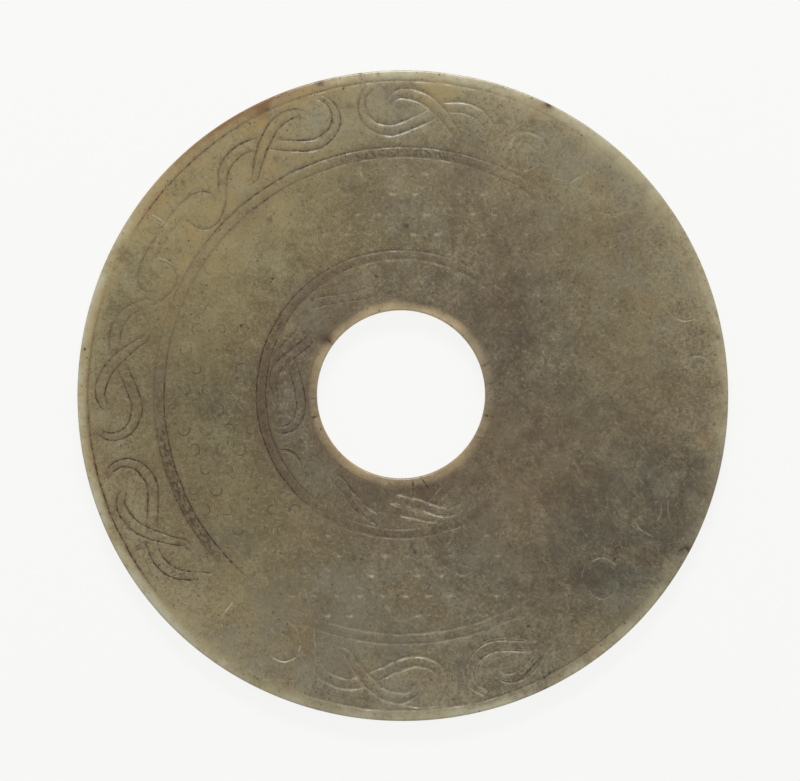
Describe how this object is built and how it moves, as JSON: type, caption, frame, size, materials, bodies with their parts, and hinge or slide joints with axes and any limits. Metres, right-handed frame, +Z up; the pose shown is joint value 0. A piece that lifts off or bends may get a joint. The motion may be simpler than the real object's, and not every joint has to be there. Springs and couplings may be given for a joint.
{
  "type": "jade bi disc",
  "caption": "Flat round jade disc with a round central hole, carved with knotted ribbon bands round a field of low grains, one side worn smooth",
  "frame": {"origin": "centre of the disc's bounding box, on the plane of the plain back that it lies on", "axes": "+Z up, out of the carved face; +Y towards the top of the picture and +X towards its right side"},
  "size_m": [0.1796, 0.1796, 0.005],
  "materials": {
    "jade": "softly polished olive jade"
  },
  "bodies": {
    "root": {"jade_disc": "jade"}
  },
  "joints": []
}
